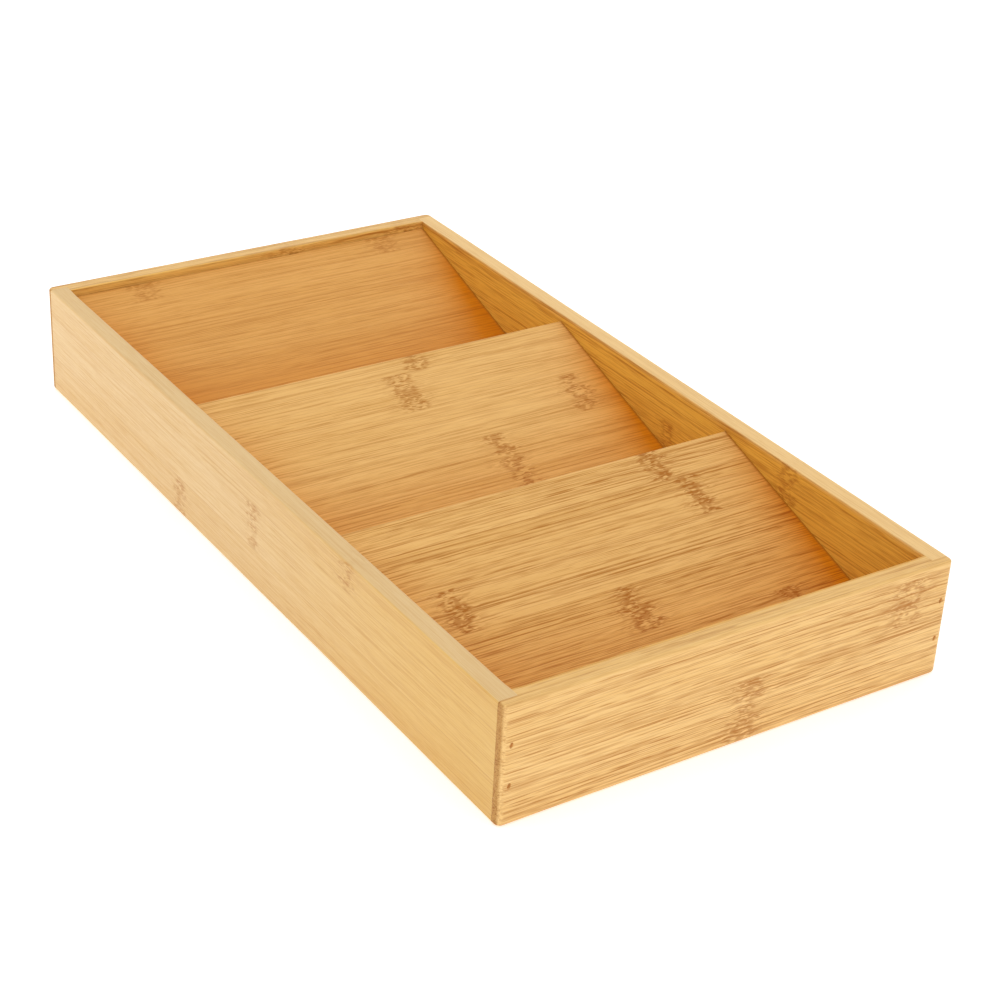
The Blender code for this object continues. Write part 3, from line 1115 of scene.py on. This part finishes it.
class SPICERACK_OT_brads(bpy.types.Operator):
    """Give the brads their browned steel"""

    bl_idname = "spicerack.brads"
    bl_label = "Brads"

    def execute(self, context):
        material = steel_material(context.scene.bamboo_finish)
        for name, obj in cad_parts.items():
            if "_brad_" in name:
                obj.data.materials.clear()
                obj.data.materials.append(material)
        return {"FINISHED"}


# ---------------------------------------------------------------- studio


def softbox(name, place, aim, size, power):
    """A rectangular light that hangs at a place and points at another."""
    light = bpy.data.lights.new(name, "AREA")
    light.shape = "RECTANGLE"
    light.size, light.size_y = size
    light.energy = power
    obj = bpy.data.objects.new(name, light)
    obj.location = place
    obj.rotation_euler = (Vector(aim) - Vector(place)).to_track_quat("-Z", "Y").to_euler()
    bpy.context.scene.collection.objects.link(obj)


class SPICERACK_OT_studio(bpy.types.Operator):
    """Set up the pale floor, the soft lights and the camera"""

    bl_idname = "spicerack.studio"
    bl_label = "Studio"

    def execute(self, context):
        scene = context.scene
        studio = scene.studio
        self.floor(studio)
        world = bpy.data.worlds.new("white_room")
        world.use_nodes = True
        background = world.node_tree.nodes["Background"]
        Graph(world.node_tree).fill_in(background, Color=WHITE, Strength=studio.sky)
        scene.world = world
        for name, (place, aim, size) in SOFTBOXES.items():
            softbox(f"softbox_{name}", place, aim, size, getattr(studio, name))
        scene.view_settings.view_transform = "Standard"

        camera = bpy.data.cameras.new("camera")
        camera.lens = studio.lens
        camera.sensor_width = 36.0
        camera.clip_start = 0.01
        obj = bpy.data.objects.new("camera", camera)
        obj.location = studio.eye
        obj.rotation_euler = studio.turn
        scene.collection.objects.link(obj)
        scene.camera = obj
        return {"FINISHED"}

    @staticmethod
    def floor(studio):
        """A pale sheet of paper under the rack: a level grid, 12 m each way."""
        line = np.linspace(-6.0, 6.0, 13)
        x, y = np.meshgrid(line, line)
        points = np.stack([x, y, np.full_like(x, -0.0001)], -1).reshape(-1, 3)
        index = np.arange(x.size).reshape(x.shape)
        quads = np.stack([index[:-1, :-1], index[:-1, 1:], index[1:, 1:], index[1:, :-1]], -1)
        mesh = bpy.data.meshes.new("floor")
        mesh.from_pydata(points.tolist(), [], quads.reshape(-1, 4).tolist())
        obj = bpy.data.objects.new("floor", mesh)
        bpy.context.scene.collection.objects.link(obj)
        material, graph, shader = new_material("pale_paper")
        graph.fill_in(
            shader, Base_Color=(*studio.floor_colour, 1.0), Roughness=0.9, Specular_IOR_Level=0.2,
            Emission_Color=WHITE, Emission_Strength=studio.floor_glow,
        )
        mesh.materials.append(material)


class SPICERACK_PT_panel(bpy.types.Panel):
    """Sizes, colours and steps of the spice rack"""

    bl_idname = "SPICERACK_PT_panel"
    bl_label = "Drawer Spice Rack"
    bl_space_type = "VIEW_3D"
    bl_region_type = "UI"
    bl_category = "Spice Rack"

    def draw(self, context):
        layout = self.layout
        for step in STEPS:
            layout.operator(step.bl_idname)
        for group in (context.scene.rack_shape, context.scene.bamboo_finish, context.scene.studio):
            box = layout.box()
            for field in group.bl_rna.properties.keys():
                if field not in ("rna_type", "name"):
                    box.prop(group, field)


STEPS = (
    SPICERACK_OT_end_boards,
    SPICERACK_OT_side_boards,
    SPICERACK_OT_tier_panels,
    SPICERACK_OT_brads,
    SPICERACK_OT_studio,
)
GROUPS = {"rack_shape": RackShape, "bamboo_finish": BambooFinish, "studio": Studio}
CLASSES = (*GROUPS.values(), *STEPS, SPICERACK_PT_panel)


def register():
    for cls in CLASSES:
        bpy.utils.register_class(cls)
    for field, group in GROUPS.items():
        setattr(bpy.types.Scene, field, PointerProperty(type=group))


def unregister():
    for field in GROUPS:
        delattr(bpy.types.Scene, field)
    for cls in reversed(CLASSES):
        bpy.utils.unregister_class(cls)


def main():
    register()
    bpy.ops.spicerack.end_boards()
    bpy.ops.spicerack.side_boards()
    bpy.ops.spicerack.tier_panels()
    bpy.ops.spicerack.brads()
    bpy.ops.spicerack.studio()


if __name__ == "__main__":
    main()
